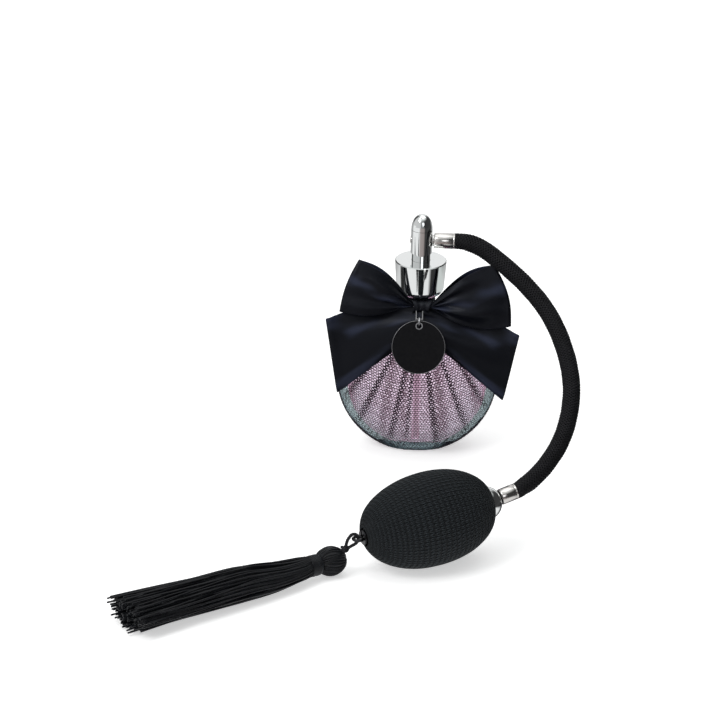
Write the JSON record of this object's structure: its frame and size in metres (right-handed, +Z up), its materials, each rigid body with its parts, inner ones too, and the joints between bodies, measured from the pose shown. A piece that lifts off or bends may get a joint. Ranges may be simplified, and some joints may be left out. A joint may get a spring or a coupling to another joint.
{
  "type": "bulb atomiser perfume bottle",
  "caption": "Round glass flask in a gathered net sock with a satin bow and tag; chrome sprayer head, braided hose, knitted squeeze bulb with valves, and a tassel.",
  "frame": {"origin": "middle of the flask's flat base, on the surface that it stands on", "axes": "+Z up along the neck; +X towards the hose's branch; the bow and the tag face -Y"},
  "size_m": [0.2123, 0.2484, 0.1178],
  "materials": {
    "glass": "clear thick glass with a faint green-blue edge",
    "perfume": "clear pink liquid",
    "net": "black fishnet with six-sided holes",
    "elastic": "black elastic thread",
    "satin": "black satin ribbon with a soft blue sheen",
    "tag_black": "polished black",
    "tag_metal": "bright nickel wire",
    "gasket_rubber": "matt",
    "sprayer_plastic": "moulded",
    "dip_plastic": "translucent extruded",
    "chrome": "mirror polished",
    "liner_plastic": "moulded",
    "nozzle_steel": "turned",
    "ferrule_metal": "polished, faintly drawn along its length",
    "braid": "black braided nylon",
    "tube_rubber": "smooth",
    "valve_brass": "turned",
    "ball_steel": "polished ball",
    "knit": "black tubular knit",
    "tassel_cord": "black twisted cord",
    "tassel_thread": "black rayon threads"
  },
  "bodies": {
    "bottle": {"glass_bottle": "glass", "perfume_fill": "perfume", "mesh_sock": "net", "sock_elastic": "elastic", "neck_ribbon": "satin", "bow_loop_left": "satin", "bow_loop_right": "satin", "bow_tail_left": "satin", "bow_tail_right": "satin", "bow_knot": "satin", "tag_hanger": "tag_metal"},
    "tag": {"tag_disc": "tag_black", "tag_eyelet": "tag_metal", "tag_ring": "tag_metal"},
    "sprayer": {"neck_gasket": "gasket_rubber", "sprayer_plug": "sprayer_plastic", "dip_tube": "dip_plastic"},
    "collar": {"collar_shell": "chrome", "collar_liner": "liner_plastic"},
    "head": {"head_body": "chrome", "nozzle_insert": "nozzle_steel", "hose_nipple": "nozzle_steel", "head_ferrule": "ferrule_metal", "hose_braid": "braid", "hose_core": "tube_rubber", "bulb_ferrule": "ferrule_metal", "bulb_nipple": "nozzle_steel", "dome_cup": "chrome", "outlet_valve_body": "valve_brass", "rubber_bulb": "tube_rubber", "bulb_cover": "knit", "inlet_valve_body": "valve_brass"},
    "finial": {"head_finial": "chrome"},
    "outlet_ball": {"outlet_valve_ball": "ball_steel"},
    "inlet_ball": {"inlet_valve_ball": "ball_steel"},
    "tassel": {"tassel_loop": "tassel_cord", "tassel_knot": "tassel_cord", "tassel_head": "tassel_thread", "tassel_wrap": "tassel_thread", "tassel_skirt": "tassel_thread"}
  },
  "joints": [
    {"name": "sprayer_lift", "type": "slide", "parent": "bottle", "child": "sprayer", "axis": [0, 0, 1], "range_m": [0, 0.09]},
    {"name": "collar_turn", "type": "hinge", "parent": "sprayer", "child": "collar", "pos_m": [0, 0, 0.09], "axis": [0, 0, 1], "continuous": true},
    {"name": "head_swivel", "type": "hinge", "parent": "sprayer", "child": "head", "pos_m": [0, 0, 0.0955], "axis": [0, 0, 1], "range_deg": [0, 150]},
    {"name": "finial_turn", "type": "hinge", "parent": "head", "child": "finial", "pos_m": [0, 0, 0.112], "axis": [0, 0, 1], "continuous": true},
    {"name": "tag_swing", "type": "hinge", "parent": "bottle", "child": "tag", "pos_m": [0, -0.0174, 0.0716], "axis": [-1, 0, 0], "range_deg": [0, 75]},
    {"name": "outlet_ball_travel", "type": "slide", "parent": "head", "child": "outlet_ball", "axis": [0.8939, 0.436, 0.1045], "range_m": [0, 0.001]},
    {"name": "inlet_ball_travel", "type": "slide", "parent": "head", "child": "inlet_ball", "axis": [0.8939, 0.436, 0.1045], "range_m": [0, 0.001]},
    {"name": "tassel_swing", "type": "hinge", "parent": "head", "child": "tassel", "pos_m": [-0.02578, -0.14949, 0.01834], "axis": [0, 0, 1], "range_deg": [-40, 40]}
  ]
}
